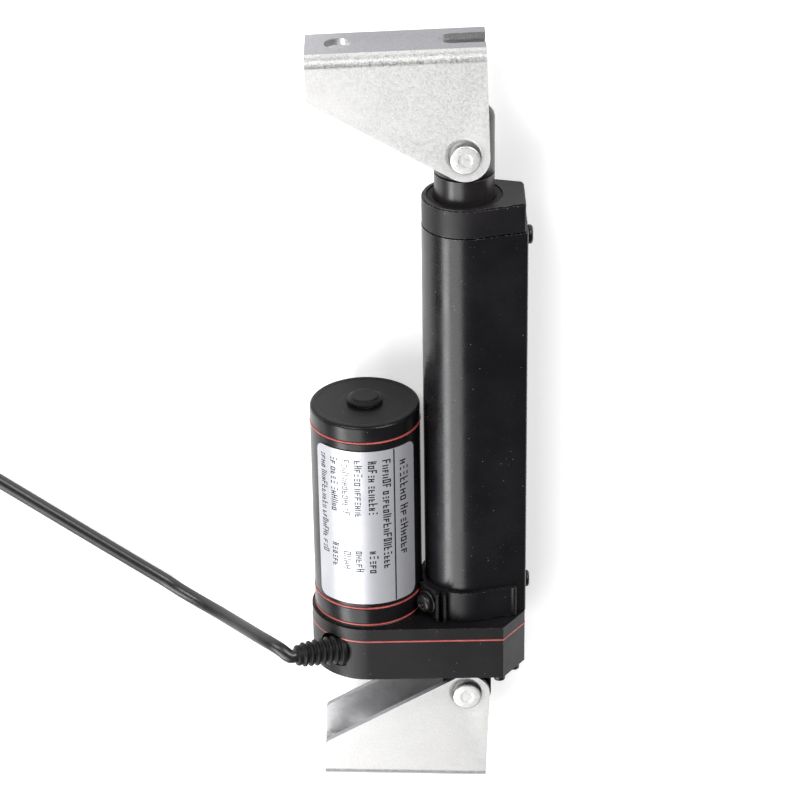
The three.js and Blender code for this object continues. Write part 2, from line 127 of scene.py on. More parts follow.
def block(x0, x1, y0, y1, z0, z1):
    return prism([(x0, z0), (x1, z0), (x1, z1), (x0, z1)], y0, y1)

def baked(o):
    bpy.context.view_layer.update()
    dg = bpy.context.evaluated_depsgraph_get()
    me = bpy.data.meshes.new_from_object(o.evaluated_get(dg))
    o.modifiers.clear()
    old = o.data
    o.data = me
    bpy.data.meshes.remove(old)
    return o

def boolean(a, b, op="DIFFERENCE"):
    md = a.modifiers.new("b", "BOOLEAN")
    md.operation, md.solver, md.object = op, "EXACT", b
    baked(a)
    bpy.data.objects.remove(b)
    return a
cut = lambda a, b: boolean(a, b, "DIFFERENCE")
add = lambda a, b: boolean(a, b, "UNION")

def arc(cx, cz, r, a0, a1, n):
    return [(cx + r * math.cos(rad(a0 + (a1 - a0) * i / n)), cz + r * math.sin(rad(a0 + (a1 - a0) * i / n))) for i in range(n + 1)]

def finish(o, name, mat, body, nodes=(), bevel=0.0, seg=3, angle=32, sharp=40, weighted=True, dissolve=True):
    """names a piece, eases its edges, smooths it and hands it to its body"""
    if dissolve:
        bm = bmesh.new(); bm.from_mesh(o.data)
        bmesh.ops.remove_doubles(bm, verts=bm.verts, dist=2e-7)
        bmesh.ops.dissolve_limit(bm, angle_limit=rad(0.2), verts=bm.verts, edges=bm.edges)
        bmesh.ops.connect_verts_concave(bm, faces=bm.faces[:])
        bm.to_mesh(o.data); bm.free()
    for p in o.data.polygons: p.use_smooth = True
    if bevel:
        md = o.modifiers.new("e", "BEVEL")
        md.width, md.segments, md.limit_method, md.angle_limit = bevel / 1000, seg, "ANGLE", rad(angle)
        md.use_clamp_overlap = True
        md.harden_normals = True
        baked(o)
        me = o.data
        bm = bmesh.new(); bm.from_mesh(me)
        hard = [e_.index for e_ in bm.edges if len(e_.link_faces) == 2 and e_.calc_face_angle(0) > rad(58)]
        bm.free()
        for k in hard: me.edges[k].use_edge_sharp = True
    else:
        o.data.set_sharp_from_angle(angle=rad(sharp))
        if weighted:
            md = o.modifiers.new("w", "WEIGHTED_NORMAL")
            md.keep_sharp, md.weight = True, 80
            baked(o)
    o.name = name; o.data.name = name
    o.data.materials.clear(); o.data.materials.append(mat)
    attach(o, body)
    if nodes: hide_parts(*nodes)
    return o

# ---------------------------------------------------------------- node material helpers
class Mat:
    def __init__(s, name):
        s.m = bpy.data.materials.new(name); s.m.use_nodes = True
        s.t = s.m.node_tree; s.t.nodes.clear()
        s.out = s.n("ShaderNodeOutputMaterial")
        s.b = s.n("ShaderNodeBsdfPrincipled")
        s.t.links.new(s.b.outputs[0], s.out.inputs[0])
        s.co = s.n("ShaderNodeTexCoord").outputs["Object"]
    def n(s, kind, **kw):
        x = s.t.nodes.new(kind)
        for k, v in kw.items(): setattr(x, k, v)
        return x
    def l(s, a, b): s.t.links.new(a, b)
    def put(s, sock, v):
        if hasattr(v, "is_output"): s.l(v, sock)
        else: sock.default_value = v
    def base(s, col, rough=0.5, metal=0.0, spec=0.5):
        b = s.b.inputs
        b["Base Color"].default_value = (*col, 1) if len(col) == 3 else col
        b["Roughness"].default_value, b["Metallic"].default_value = rough, metal
        b["Specular IOR Level"].default_value = spec
    def noise(s, scale, detail=4, rough=0.5, vec=None, out="Fac", dist=0.0):
        x = s.n("ShaderNodeTexNoise")
        x.inputs["Scale"].default_value, x.inputs["Detail"].default_value = scale, detail
        x.inputs["Roughness"].default_value, x.inputs["Distortion"].default_value = rough, dist
        s.l(vec if vec is not None else s.co, x.inputs["Vector"])
        return x.outputs[out]
    def vor(s, scale, vec=None, out="Distance", feature="F1", rand=1.0):
        x = s.n("ShaderNodeTexVoronoi", feature=feature)
        x.inputs["Scale"].default_value, x.inputs["Randomness"].default_value = scale, rand
        s.l(vec if vec is not None else s.co, x.inputs["Vector"])
        return x.outputs[out]
    def math(s, op, a, b=None, c=None, clamp=False):
        x = s.n("ShaderNodeMath", operation=op, use_clamp=clamp)
        for i, v in enumerate((a, b, c)):
            if v is not None: s.put(x.inputs[i], v)
        return x.outputs[0]
    def ramp(s, fac, stops, interp="LINEAR"):
        x = s.n("ShaderNodeValToRGB"); x.color_ramp.interpolation = interp
        e = x.color_ramp.elements
        while len(e) < len(stops): e.new(0.5)
        for i, (p, c) in enumerate(stops):
            e[i].position = p
            e[i].color = (*c, 1) if isinstance(c, (tuple, list)) else (c, c, c, 1)
        s.l(fac, x.inputs[0])
        return x.outputs[0]
    def mapr(s, v, a, b, c, d):
        x = s.n("ShaderNodeMapRange"); x.clamp = True
        s.l(v, x.inputs[0])
        for i, k in enumerate((a, b, c, d)): s.put(x.inputs[i + 1], k)
        return x.outputs[0]
    def mix(s, fac, a, b):
        x = s.n("ShaderNodeMix", data_type="RGBA")
        s.put(x.inputs[0], fac)
        for i, v in ((6, a), (7, b)):
            if isinstance(v, (tuple, list)): x.inputs[i].default_value = (*v, 1)
            else: s.l(v, x.inputs[i])
        return x.outputs[2]
    def mapping(s, scale=(1, 1, 1), rot=(0, 0, 0), loc=(0, 0, 0)):
        x = s.n("ShaderNodeMapping")
        x.inputs["Scale"].default_value, x.inputs["Rotation"].default_value, x.inputs["Location"].default_value = scale, rot, loc
        s.l(s.co, x.inputs["Vector"])
        return x.outputs[0]
    def bump(s, h, strength=0.3, dist=0.0002, prev=None):
        x = s.n("ShaderNodeBump")
        x.inputs["Strength"].default_value, x.inputs["Distance"].default_value = strength, dist
        s.l(h, x.inputs["Height"])
        if prev is not None: s.l(prev, x.inputs["Normal"])
        s.l(x.outputs[0], s.b.inputs["Normal"])
        return x.outputs[0]
    def pointy(s):
        return s.n("ShaderNodeNewGeometry").outputs["Pointiness"]
    def edge(s, radius):
        """1 on the sharp outer edges: where a rounded normal leaves the true one"""
        bv = s.n("ShaderNodeBevel"); bv.samples = 4
        bv.inputs["Radius"].default_value = radius
        d = s.n("ShaderNodeVectorMath", operation="DOT_PRODUCT")
        s.l(bv.outputs[0], d.inputs[0]); s.l(s.n("ShaderNodeNewGeometry").outputs["Normal"], d.inputs[1])
        return s.mapr(d.outputs["Value"], 0.995, 0.8, 0.0, 1.0)
    def rough(s, v): s.l(v, s.b.inputs["Roughness"])
    def color(s, v): s.l(v, s.b.inputs["Base Color"])

# black satin lacquer on the castings, tube and motor: fine orange peel, dust, pale specks on the edges
def black_paint(name, lum=1.0, rough=0.34, dust=1.0, peel=0.10, tint=(0.0044, 0.0039, 0.0046), wear=1.0, spec=0.45):
    M = Mat(name)
    M.base(tint, rough, 0.0, spec)
    big = M.noise(55, 4, 0.6)
    grain = M.noise(2600, 3, 0.6)
    c1 = M.mix(M.mapr(big, 0.35, 0.7, 0.0, 1.0), tuple(lum * x for x in tint), tuple(lum * 1.7 * x for x in tint))
    # loose dust: small pale flecks, gathered in patches
    sp = M.vor(900, out="Distance")
    patch = M.mapr(M.noise(70, 5, 0.65), 0.50, 0.72, 0.0, 1.0)
    fleck = M.math("MULTIPLY", M.mapr(sp, 0.10, 0.04, 0.0, 1.0), patch)
    sp2 = M.mapr(M.vor(320, out="Distance"), 0.055, 0.02, 0.0, 1.0)
    fleck = M.math("ADD", fleck, M.math("MULTIPLY", sp2, 0.7), clamp=True)
    c2 = M.mix(M.math("MULTIPLY", fleck, 0.55 * dust), c1, (0.50, 0.47, 0.45))
    # pale rubbed edges, broken up by noise
    ed = M.math("MULTIPLY", M.edge(0.00035), M.mapr(M.noise(900, 4, 0.7), 0.50, 0.66, 0.0, 1.0))
    c3 = M.mix(M.math("MULTIPLY", ed, 0.30 * wear), c2, (0.42, 0.40, 0.39))
    M.color(c3)
    r = M.math("ADD", M.mapr(big, 0.3, 0.7, rough - 0.05, rough + 0.07), M.math("MULTIPLY", M.math("SUBTRACT", grain, 0.5), 0.16))
    M.rough(M.math("ADD", r, M.math("MULTIPLY", fleck, 0.3), clamp=True))
    b1 = M.bump(M.noise(1500, 3, 0.55), peel, 0.00006)
    M.bump(grain, peel * 0.9, 0.00003, b1)
    return M.m

def black_steel(name="black_steel", rough=0.30, lum=1.0):
    M = Mat(name)
    M.base((0.007, 0.0068, 0.0075), rough, 0.0, 0.34)
    n1 = M.noise(160, 5, 0.6); n2 = M.noise(3200, 2, 0.5)
    scr = M.noise(240, 3, 0.6, M.mapping((1, 14, 14)))
    c = M.mix(M.mapr(n1, 0.35, 0.7, 0, 1), (0.0048 * lum, 0.0045 * lum, 0.0052 * lum), (0.011 * lum, 0.0100 * lum, 0.0102 * lum))
    ed = M.math("MULTIPLY", M.edge(0.0003), M.mapr(M.noise(1100, 4, 0.7), 0.45, 0.62, 0.0, 1.0))
    c = M.mix(M.math("MULTIPLY", ed, 0.5), c, (0.38, 0.37, 0.37))
    M.color(c)
    M.rough(M.math("ADD", M.mapr(n1, 0.3, 0.7, rough - 0.05, rough + 0.1), M.math("MULTIPLY", M.math("SUBTRACT", scr, 0.5), 0.2), clamp=True))
    b = M.bump(n1, 0.12, 0.0001)
    M.bump(n2, 0.12, 0.00003, b)
    return M.m

# bright zinc plating over sheared and bent sheet: a fine even grain, coarser and more sparkling where the sheet was worked
def zinc(name="zinc", rough=0.46, sparkle=1.3, lum=0.71, grain=1900, cells=2100, contrast=0.12, tint=(1, 0.995, 0.985), metal=0.9, worked=False):
    M = Mat(name)
    lo = tuple(min(1, lum * (1 - contrast) * t) for t in tint); hi = tuple(min(1, lum * (1 + contrast) * t) for t in tint)
    M.base(lo, rough, metal, 0.5)
    sep = M.n("ShaderNodeSeparateColor"); M.l(M.vor(cells, out="Color"), sep.inputs[0])
    k = sep.outputs[0]
    g = M.noise(grain, 4, 0.7)
    c = M.mix(M.mapr(g, 0.36, 0.64, 0, 1), lo, hi)
    c = M.mix(M.mapr(M.noise(60, 5, 0.6), 0.50, 0.75, 0, 0.22), c, tuple(x * 0.86 for x in lo))
    if not worked:
        streak = M.mapr(M.noise(180, 4, 0.6, M.mapping((1, 12, 1))), 0.60, 0.74, 0, 0.16)
        c = M.mix(streak, c, tuple(x * 0.80 for x in lo))
    # painted shade: the zinc is painted darker where something stands close over the surface (ambient occlusion)
    ao = M.n("ShaderNodeAmbientOcclusion"); ao.samples = 6
    ao.inputs["Distance"].default_value = 0.0035
    c = M.mix(M.mapr(ao.outputs["AO"], 0.92, 0.45, 0.0, 0.50), c, tuple(x * 0.30 for x in lo))
    M.color(c)
    r = M.math("ADD", M.mapr(k, 0, 1, rough - 0.06 * sparkle, rough + 0.06 * sparkle), M.math("MULTIPLY", M.math("SUBTRACT", g, 0.5), 0.16), clamp=True)
    M.rough(r)
    b = M.bump(k, 0.07 * sparkle, 0.00004)
    b = M.bump(g, 0.16 * sparkle, 0.00004, b)
    if not worked: M.bump(M.noise(260, 4, 0.6), 0.05, 0.0002, b)
    return M.m

def plain(name, col, col2, rough, metal=0.0, scale=300, bump=0.15, dist=0.00005, spec=0.5, aniso=None):
    M = Mat(name)
    M.base(col, rough, metal, spec)
    vec = M.mapping(aniso) if aniso else None
    n1 = M.noise(scale, 5, 0.6, vec); n2 = M.noise(scale * 6, 3, 0.6, vec)
    M.color(M.mix(M.mapr(n1, 0.35, 0.68, 0, 1), col, col2))
    M.rough(M.math("ADD", M.mapr(n2, 0.3, 0.7, rough - 0.06, rough + 0.08), M.math("MULTIPLY", M.math("SUBTRACT", n1, 0.5), 0.12), clamp=True))
    b = M.bump(n1, bump, dist)
    M.bump(n2, bump * 0.7, dist * 0.6, b)
    return M.m

# ---------------------------------------------------------------- materials
M_paint = black_paint("black_paint", rough=0.40, spec=0.23)
M_tube = black_paint("black_paint_tube", rough=0.26, dust=1.2, peel=0.10, spec=0.36, wear=1.4)
M_cap = black_paint("black_paint_cap", lum=1.4, rough=0.42, dust=1.3, peel=0.08, spec=0.26, wear=1.7)
M_endcap = black_paint("black_paint_end", rough=0.40, dust=0.9, peel=0.08, spec=0.10)
M_motor = black_paint("black_paint_motor", rough=0.28, dust=0.9, peel=0.05, spec=0.26)
M_rod = black_paint("black_paint_rod", lum=1.6, rough=0.32, dust=0.9, peel=0.05, spec=0.44, tint=(0.0062, 0.0052, 0.0052), wear=0.8)
M_bsteel = black_steel()
M_plug = black_steel("black_steel_plug", 0.42, 0.9)
M_plug.node_tree.nodes["Principled BSDF"].inputs["Specular IOR Level"].default_value = 0.10
M_zinc = zinc(lum=0.69, contrast=0.09, grain=2300)
# a darker copy of the zinc for the rear bracket: painted shade
M_zinc_rear_painted_shade = zinc("zinc_rear_painted_shade", lum=0.64, contrast=0.09, grain=2300)
M_zinc_grain = zinc("zinc_grain", rough=0.46, sparkle=2.4, lum=0.50, grain=2500, cells=2600, contrast=0.30, worked=True)
# a darker copy of the zinc for the insides of the brackets: painted shade
M_zinc_inner_painted_shade = zinc("zinc_inner_painted_shade", rough=0.42, lum=0.52, contrast=0.08, tint=(0.99, 0.98, 1.0))
# a much darker copy of the zinc, painted shade on the outside of the bracket bases; the cut edges of the sheet take it
# too
M_zinc_base_painted_shade = zinc("zinc_base_painted_shade", rough=0.42, lum=0.27, contrast=0.05, tint=(0.985, 0.97, 1.03))
M_pin = zinc("zinc_pin", rough=0.42, sparkle=0.9, lum=0.73)
M_steel = plain("steel", (0.50, 0.50, 0.51), (0.62, 0.62, 0.62), 0.24, 1.0, 180, 0.12, 0.00003, aniso=(1, 0.08, 1))
M_nylon = plain("nylon", (0.70, 0.67, 0.58), (0.78, 0.75, 0.68), 0.42, 0.0, 220, 0.1)
M_brass = plain("brass", (0.60, 0.42, 0.16), (0.74, 0.54, 0.24), 0.30, 1.0, 240, 0.15)
M_ferrite = plain("ferrite", (0.045, 0.042, 0.045), (0.08, 0.075, 0.075), 0.62, 0.0, 700, 0.4, 0.0001)
M_windings = plain("windings", (0.36, 0.13, 0.045), (0.52, 0.22, 0.08), 0.32, 0.7, 400, 0.5, 0.0002, aniso=(5, 1, 5))
M_commut = plain("commutator_copper", (0.62, 0.30, 0.16), (0.75, 0.42, 0.26), 0.28, 1.0, 300, 0.15)
M_board = plain("board", (0.015, 0.10, 0.035), (0.03, 0.17, 0.06), 0.42, 0.0, 500, 0.2)
M_switch = plain("switch_black", (0.012, 0.012, 0.013), (0.022, 0.021, 0.022), 0.45, 0.0, 400, 0.2)
M_rubber = plain("rubber", (0.0050, 0.0048, 0.0054), (0.0085, 0.0080, 0.0084), 0.50, 0.0, 420, 0.30, 0.00010, 0.18)
M_seal = plain("seal_rubber", (0.0035, 0.0035, 0.0038), (0.0065, 0.0062, 0.0066), 0.60, 0.0, 420, 0.20, 0.00006, 0.2)
M_pvc = plain("cord_pvc", (0.0080, 0.0076, 0.0080), (0.0145, 0.0135, 0.0135), 0.33, 0.0, 260, 0.16, 0.00006, 0.5)
M_shrink = plain("cord_shrink", (0.010, 0.0098, 0.0100), (0.019, 0.0180, 0.0180), 0.42, 0.0, 300, 0.25, 0.00008, 0.5)
M_red_wire = plain("cord_core_red", (0.42, 0.012, 0.010), (0.52, 0.02, 0.016), 0.35, 0.0, 300, 0.12)
M_black_wire = plain("cord_core_black", (0.012, 0.012, 0.012), (0.02, 0.02, 0.02), 0.35, 0.0, 300, 0.12)
M_tin = plain("cord_ferrule", (0.66, 0.66, 0.66), (0.80, 0.80, 0.79), 0.26, 1.0, 500, 0.2, 0.00005)

def gasket_mat():
    M = Mat("red_gasket")
    M.base((0.42, 0.060, 0.054), 0.34, 0.0, 0.5)
    n = M.noise(240, 5, 0.6); n2 = M.noise(1900, 3, 0.6)
    M.color(M.mix(M.mapr(n, 0.34, 0.68, 0, 1), (0.33, 0.050, 0.045), (0.46, 0.095, 0.085)))
    M.rough(M.mapr(n2, 0.3, 0.7, 0.26, 0.44))
    b = M.bump(n, 0.2, 0.0001); M.bump(n2, 0.2, 0.00004, b)
    M.b.inputs["Subsurface Weight"].default_value = 0.04
    return M.m
M_red = gasket_mat()

def foil_mat(name, col, rough=0.30, metal=0.85):
    M = Mat(name)
    M.base(col, rough, metal, 0.5)
    fib = M.noise(1300, 3, 0.6, M.mapping((1, 0.05, 1)))
    n = M.noise(150, 4, 0.6); n3 = M.noise(3000, 2, 0.5)
    d = tuple(x * 0.90 for x in col)
    c = M.mix(M.mapr(n, 0.35, 0.7, 0, 0.7), col, d)
    scuff = M.math("MULTIPLY", M.mapr(M.noise(700, 5, 0.7), 0.60, 0.72, 0, 1), M.mapr(M.noise(90, 3), 0.52, 0.64, 0, 1))
    c = M.mix(M.math("MULTIPLY", scuff, 0.25), c, tuple(x * 0.62 for x in col))
    M.color(c)
    M.rough(M.math("ADD", M.mapr(n, 0.3, 0.7, rough - 0.04, rough + 0.07), M.math("MULTIPLY", M.math("SUBTRACT", fib, 0.5), 0.10), clamp=True))
    b = M.bump(n, 0.10, 0.0002); M.bump(n3, 0.10, 0.00003, b)
    return M.m
M_foil = foil_mat("foil", (0.45, 0.453, 0.48), 0.40, 0.40)
M_ink = plain("foil_ink", (0.010, 0.010, 0.014), (0.022, 0.022, 0.030), 0.55, 0.0, 500, 0.1, 0.00002, 0.15)
M_ink_grey = plain("foil_ink_grey", (0.035, 0.036, 0.044), (0.06, 0.062, 0.075), 0.55, 0.0, 700, 0.1, 0.00002, 0.15)

def floor_mat():
    M = Mat("floor")
    M.base((0.86, 0.86, 0.86), 0.9, 0.0, 0.1)
    n = M.noise(30, 3, 0.5)
    M.color(M.mix(M.mapr(n, 0.3, 0.7, 0, 1), (0.885, 0.885, 0.885), (0.90, 0.90, 0.90)))
    M.b.inputs["Emission Color"].default_value = (1, 1, 1, 1)
    M.b.inputs["Emission Strength"].default_value = 0.34
    return M.m
M_floor = floor_mat()

# ---------------------------------------------------------------- the supply lead
CORD_R, FLOOR = 2.4, -20.1
R_AT, R_DIR = Vector((-44, 21.9, 15)), Vector((-0.9385, 0.06, 0.34)).normalized()
REL = (-0.9385, 0.06, 0.34)
along = lambda s: tuple(a + d * s for a, d in zip((-44, 21.9, 15), REL))
LEAD = [along(17.1), along(18.6), (-65.0, 25.4, 20.2), (-68.6, 26.3, 17.5), (-72.2, 26.3, 13.7), (-76.6, 25.7, 8.0), (-81.1, 25.0, 2.0),
        (-87.1, 24.7, -5.0), (-94.5, 25.7, -11.3), (-101.7, 28.2, -15.4), (-106.6, 31.0, -17.1), (-112.0, 34.7, FLOOR + CORD_R + 0.15),
        (-122.44, 42.44, FLOOR + CORD_R + 0.12), (-162.65, 72.6, FLOOR + CORD_R + 0.12), (-176.8, 83.2, FLOOR + CORD_R + 0.12)]
COIL_AT, COIL_R = (-211.4, 74.2), 28.0

def centripetal(pts, step=1.2):
    """points every `step` mm along the same curve that the CAD lead follows"""
    P = [Vector(p) for p in pts]
    P = [P[0] + (P[0] - P[1])] + P + [P[-1] + (P[-1] - P[-2])]
    out = []
    for i in range(1, len(P) - 2):
        p0, p1, p2, p3 = P[i - 1:i + 3]
        t0 = 0.0
        t1 = t0 + max((p1 - p0).length, 1e-6) ** 0.5
        t2 = t1 + max((p2 - p1).length, 1e-6) ** 0.5
        t3 = t2 + max((p3 - p2).length, 1e-6) ** 0.5
        n = max(2, int((p2 - p1).length / step))
        for k in range(n):
            t = t1 + (t2 - t1) * k / n
            a1 = p0 * ((t1 - t) / (t1 - t0)) + p1 * ((t - t0) / (t1 - t0))
            a2 = p1 * ((t2 - t) / (t2 - t1)) + p2 * ((t - t1) / (t2 - t1))
            a3 = p2 * ((t3 - t) / (t3 - t2)) + p3 * ((t - t2) / (t3 - t2))
            b1 = a1 * ((t2 - t) / (t2 - t0)) + a2 * ((t - t0) / (t2 - t0))
            b2 = a2 * ((t3 - t) / (t3 - t1)) + a3 * ((t - t1) / (t3 - t1))
            out.append(b1 * ((t2 - t) / (t2 - t1)) + b2 * ((t - t1) / (t2 - t1)))
    out.append(P[-2])
    return out

# coil: the lead comes in along the table, meets the outer turn as a tangent and winds 4 turns, 2 wide and 2 high
cx, cy = COIL_AT
r_out, r_in = COIL_R + 2.5, COIL_R - 2.5
zlo, zhi = FLOOR + CORD_R + 0.12, FLOOR + CORD_R + 0.12 + 4.95
d_in = Vector((LEAD[-1][0] - LEAD[-2][0], LEAD[-1][1] - LEAD[-2][1])).normalized()
# tangent point on the outer turn, turning left (counter-clockwise seen from above)
nx, ny = d_in.y, -d_in.x
a_t = math.degrees(math.atan2(ny, nx))
route = list(LEAD)
def on(r, a, z): return (cx + r * math.cos(rad(a)), cy + r * math.sin(rad(a)), z)
T = on(r_out, a_t, zlo)
gap = Vector((T[0] - LEAD[-1][0], T[1] - LEAD[-1][1])).length
print("tangent", [round(v, 1) for v in T], "from last point", round(gap, 1))
route.append(((LEAD[-1][0] + T[0]) / 2, (LEAD[-1][1] + T[1]) / 2, zlo))
STEP = 24
def wind(r0, r1, z0, z1, a0, a1, skip=0):
    n = int(round(abs(a1 - a0) / STEP))
    for i in range(skip, n + 1):
        k = i / n
        s = k * k * (3 - 2 * k)
        route.append(on(r0 + (r1 - r0) * s, a0 + (a1 - a0) * k, z0 + (z1 - z0) * s))
wind(r_out, r_out, zlo, zlo, a_t, a_t + 312)                          # outer turn on the table
wind(r_out, r_in, zlo, zlo, a_t + 312, a_t + 372, 1)                  # steps in
wind(r_in, r_in, zlo, zlo, a_t + 372, a_t + 660, 1)                   # inner turn
wind(r_in, r_in, zlo, zhi, a_t + 660, a_t + 732, 1)                   # climbs
wind(r_in, r_in, zhi, zhi, a_t + 732, a_t + 1020, 1)                  # inner turn, on top
wind(r_in, r_out, zhi, zhi, a_t + 1020, a_t + 1092, 1)                # steps out
wind(r_out, r_out, zhi, zhi, a_t + 1092, a_t + 1330, 1)               # outer turn, on top

def tube_mesh(pts, r, name, seg=16, cap=True):
    """a round tube along fine points, with parallel-carried rings"""
    P = [Vector(p) for p in pts]
    T = [(P[min(i + 1, len(P) - 1)] - P[max(i - 1, 0)]).normalized() for i in range(len(P))]
    nrm = T[0].orthogonal().normalized()
    v, f = [], []
    for i, p in enumerate(P):
        nrm = (nrm - T[i] * nrm.dot(T[i])).normalized()
        b = T[i].cross(nrm)
        for k in range(seg):
            a = 2 * math.pi * k / seg
            v.append(p + (nrm * math.cos(a) + b * math.sin(a)) * r)
    n = len(P)
    for i in range(n - 1):
        for k in range(seg):
            k2 = (k + 1) % seg
            f.append((i * seg + k, i * seg + k2, (i + 1) * seg + k2, (i + 1) * seg + k))
    if cap:
        f.append(tuple(range(seg))[::-1]); f.append(tuple(range((n - 1) * seg, n * seg)))
    return mesh_obj(name, v, f)

fine = centripetal(route, 1.0)
lead = tube_mesh(fine, CORD_R, "supply_lead_loose", 20)
for p in lead.data.polygons: p.use_smooth = True
lead.data.set_sharp_from_angle(angle=rad(60))
lead.data.materials.append(M_pvc)
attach(lead, "housing"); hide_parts("supply_lead", "supply_lead_coil")

# its end: heat-shrink collar, then two cores with ferrules, lying on the coil
end_p, end_d = fine[-1], (fine[-1] - fine[-4]).normalized()
side = Vector((-end_d.y, end_d.x, 0)).normalized()
e = lambda s, q=0, z=0: end_p + end_d * s + side * q + Vector((0, 0, z))
lathe_dir = tuple(end_d)
collar = turned([(2.45, -9), (2.75, -8.6), (2.8, -4), (2.78, 0.4), (2.5, 1.6), (1.7, 2.2), (0, 2.3), (0, -0.05), (2.45, -0.05)][::1], tuple(end_p), lathe_dir, 32)
collar = finish(collar, "lead_end_collar", M_shrink, "housing", bevel=0.0)
cores = []
for i, (q, mat) in enumerate(((1.05, M_red_wire), (-1.05, M_black_wire))):
    pts = [e(s, q * (0.85 + 0.10 * max(0, s - 2)), -0.03 * s * s * 0.5) for s in (1.5, 3, 5, 7, 9, 11, 13)]
    w = tube_mesh(centripetal([tuple(p) for p in pts], 0.5), 0.95, "t", 14)
    w = finish(w, "lead_core_" + ("red", "black")[i], mat, "housing", sharp=60, dissolve=False, weighted=False)
    d2 = (pts[-1] - pts[-2]).normalized()
    fr = turned([(0, -3.4), (1.12, -3.4), (1.25, -3.1), (1.25, -1.2), (0.98, -0.6), (0.72, -0.3), (0.70, 4.6), (0.55, 4.8), (0, 4.8)], tuple(pts[-1]), tuple(d2), 28)
    fr = finish(fr, "lead_ferrule_" + ("a", "b")[i], M_tin, "housing")
    cores += [w, fr]

# ---------------------------------------------------------------- floor and light
bpy.ops.mesh.primitive_plane_add(size=8, location=(0, 0, 0))
floor = bpy.context.object
floor.name = "floor"; floor.data.materials.append(M_floor)

wd = bpy.data.worlds.new("w") if not bpy.context.scene.world else bpy.context.scene.world
bpy.context.scene.world = wd
wd.use_nodes = True
wd.node_tree.nodes["Background"].inputs[0].default_value = (1, 1, 1, 1)
wd.node_tree.nodes["Background"].inputs[1].default_value = 0.15
bpy.context.scene.view_settings.view_transform = "Standard"

def area(name, loc, aim, size, power, size_y=None, spread=180):
    L = bpy.data.lights.new(name, "AREA")
    L.shape = "RECTANGLE" if size_y else "SQUARE"
    L.size = size
    if size_y: L.size_y = size_y
    L.energy = power; L.spread = rad(spread)
    o = bpy.data.objects.new(name, L); link(o)
    o.location = loc
    z = (Vector(loc) - Vector(aim)).normalized()
    y = (Vector((0, 1, 0)) - z * z.y).normalized()
    mt = Matrix((y.cross(z), y, z)).transposed().to_4x4()
    mt.translation = Vector(loc)
    o.matrix_world = mt
    return o

# ---------------------------------------------------------------- outlines
def case_outline(o=0, n=72):
    return arc(MX, 0, 20 + o, 90, 270, n) + [(12.4 + 0.4 * o, -20 - o), (20.3 + o, -9 - 0.4 * o), (20.3 + o, 9 + 0.4 * o), (12.4 + 0.4 * o, 20 + o)]

def tube_outline(o=0, rx=20.6, n=64, e=1.1):
    r, px, pz = 14.2 + o, rx + o, 9.2 + o * 0.7
    t = math.atan2(pz, px) + math.acos(r / math.hypot(px, pz))
    deg = math.degrees(t)
    ux, uz = math.sin(t), -math.cos(t)
    # eased right-hand corners as small arcs between the side and the flat end
    q = []
    for k in range(7):
        w = k / 6
        a = (px - ux * e, pz - uz * e); b = (px, pz); c = (px, pz - e)
        # quadratic curve through the corner
        q.append(((1 - w) ** 2 * c[0] + 2 * w * (1 - w) * b[0] + w * w * a[0], (1 - w) ** 2 * c[1] + 2 * w * (1 - w) * b[1] + w * w * (pz + 0 * a[1] - uz * e)))
    return arc(0, 0, r, deg, 360 - deg, n) + [(x, -z) for x, z in q[::-1]] + q

IDX, IDZ = -17.405, 2.61
def gear_room(o, y0, y1):
    for x, z, r in ((MX, 0, 14.1), (IDX, IDZ, 14.5), (0, 0, 14.1)):
        cut(o, cyl(r, y0, y1, (x, 0, z), seg=72))
    return o
COVER = [(11.2, 16.9), (16.4, 10.1), (11.2, -16.9), (16.4, -10.1), (-50.5, 0)]
def relief_pocket(r=6.2): return cyl(r, -0.9, 9, tuple(R_AT), tuple(R_DIR), 64)

# ---------------------------------------------------------------- gear case
o = prism(case_outline(), 12, 27.15)
gear_room(o, 14.8, 40)
lug = prism([(x, y) for x, y in [(-8.5, 14.0), (-8.5, 0)] + arc(0, 0, 8.5, 180, 360, 40)[1:-1] + [(8.5, 0), (8.5, 14.0)]], -9.8, 9.8, "Z")
add(o, lug)
cut(o, cyl(14.1, 14.8, 20, seg=72))
cut(o, cyl(4.3, -20, 20, (0, 0, 0), (0, 0, 1), 48))
for x, z in COVER: cut(o, cyl(1.55, 5, 30, (x, 0, z), seg=24))
cut(o, relief_pocket())
cut(o, cyl(3.4, -7, 0, tuple(R_AT), tuple(R_DIR), 40))
finish(o, "gear_case_lower_shell", M_paint, "housing", ["gear_case_lower"], bevel=0.45, seg=4)

o = prism(case_outline(0.1), 27.3, 27.75)
gear_room(o, 20, 40)
for x, z in COVER: cut(o, cyl(1.55, 20, 30, (x, 0, z), seg=24))
cut(o, relief_pocket())
finish(o, "gear_case_gasket_strip", M_red, "housing", ["gear_case_gasket"], bevel=0.12, seg=2)

o = prism(case_outline(), 27.9, 32.4)
add(o, turned([(0, 30), (18.85, 30), (18.85, 33.15), (18.6, 33.4), (0, 33.4)], (MX, 0, 0), seg=96))
gear_room(o, 20, 30.2)
cut(o, cyl(3, 20, 40, (MX, 0, 0), seg=40)); cut(o, cyl(5, 20, 40, seg=48))
for x, z in COVER: cut(o, cyl(1.55, 20, 30.6, (x, 0, z), seg=24))
cut(o, relief_pocket())
finish(o, "gear_case_upper_deck", M_paint, "housing", ["gear_case_upper"], bevel=0.5, seg=4)

